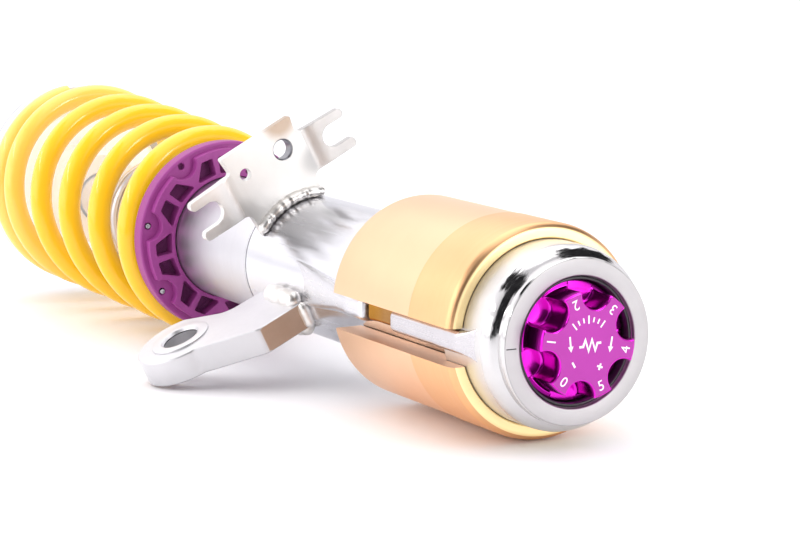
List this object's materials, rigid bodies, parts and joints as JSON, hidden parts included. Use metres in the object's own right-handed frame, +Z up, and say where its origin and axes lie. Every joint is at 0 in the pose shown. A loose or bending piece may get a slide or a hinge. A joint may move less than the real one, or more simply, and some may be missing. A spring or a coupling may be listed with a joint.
{
  "type": "adjustable coilover strut",
  "caption": "Suspension strut lying on its side: threaded damper tube with clamp sleeve and welded brackets, leaning coil spring on a screw collar, upper seat and rod end.",
  "frame": {"origin": "bottom centre of the bounding box, on the floor the strut lies on", "axes": "+X along the damper, from the lower end face towards the piston rod; +Z up; +Y towards the link bracket's side"},
  "size_m": [0.461, 0.1182, 0.0987],
  "materials": {
    "stainless_steel": "polished, lightly drawn along the tube",
    "zinc_plate": "bright zinc plate",
    "gold_anodised": "satin gold anodised",
    "purple_anodised": "glossy purple anodised",
    "purple_composite": "moulded fibre-filled plastic",
    "yellow_powder_coat": "glossy yellow powder coat",
    "black_rubber": "moulded rubber",
    "hard_chrome": "ground hard chrome",
    "bronze": "machined sintered bronze",
    "microcellular_foam": "closed-cell foam skin"
  },
  "bodies": {
    "strut": {"end_cap": "stainless_steel", "outer_tube": "stainless_steel", "clamp_sleeve": "gold_anodised", "locating_rib": "stainless_steel", "locating_tab": "stainless_steel", "hose_bracket": "zinc_plate", "link_bracket": "zinc_plate", "bore_liner": "black_rubber", "base_valve": "bronze", "inner_cylinder": "stainless_steel", "rod_guide": "zinc_plate", "guide_bush": "bronze", "rod_seal": "black_rubber", "gland_nut": "stainless_steel"},
    "bump_adjuster": {"bump_knob": "purple_anodised", "bump_spindle": "bronze"},
    "perch": {"seat_ring": "stainless_steel", "main_spring": "yellow_powder_coat"},
    "collar": {"spring_collar": "purple_composite", "collar_screw_a": "stainless_steel", "collar_screw_b": "stainless_steel", "collar_screw_c": "stainless_steel", "collar_screw_d": "stainless_steel"},
    "top_mount": {"upper_seat": "zinc_plate", "seat_pad": "black_rubber", "lower_race": "stainless_steel", "bearing_cage": "bronze"},
    "rod": {"piston_rod": "hard_chrome", "piston": "bronze", "piston_ring": "black_rubber", "piston_nut": "zinc_plate", "rebound_stop": "black_rubber", "bump_stop": "microcellular_foam", "upper_race": "stainless_steel", "rod_washer": "zinc_plate", "rod_nut": "zinc_plate"},
    "rebound_adjuster": {"rebound_dial": "purple_anodised"}
  },
  "joints": [
    {"name": "bump_knob_turn", "type": "hinge", "parent": "strut", "child": "bump_adjuster", "pos_m": [-0.2243, -0.01354, 0.04147], "axis": [1, 0, 0], "range_deg": [-240, 60]},
    {"name": "ride_height", "type": "slide", "parent": "strut", "child": "perch", "axis": [1, 0, 0], "range_m": [0, 0.03]},
    {"name": "collar_turn", "type": "hinge", "parent": "perch", "child": "collar", "pos_m": [0.0337, -0.01354, 0.04147], "axis": [1, 0, 0], "range_deg": [-5, 2705]},
    {"name": "spring_travel", "type": "slide", "parent": "perch", "child": "top_mount", "axis": [-1, 0, 0], "range_m": [0, 0.06], "stiffness_N_per_m": 60000, "deforming": ["main_spring"]},
    {"name": "rod_swivel", "type": "hinge", "parent": "top_mount", "child": "rod", "pos_m": [0.1977, -0.01354, 0.04147], "axis": [1, 0, 0], "range_deg": [-40, 40]},
    {"name": "rebound_dial_turn", "type": "hinge", "parent": "rod", "child": "rebound_adjuster", "pos_m": [0.2267, -0.01354, 0.04147], "axis": [1, 0, 0], "range_deg": [-150, 150]}
  ],
  "couplings": [
    {"joint": "collar_turn", "follows": "ride_height", "rad_per_m": 1570.8}
  ]
}
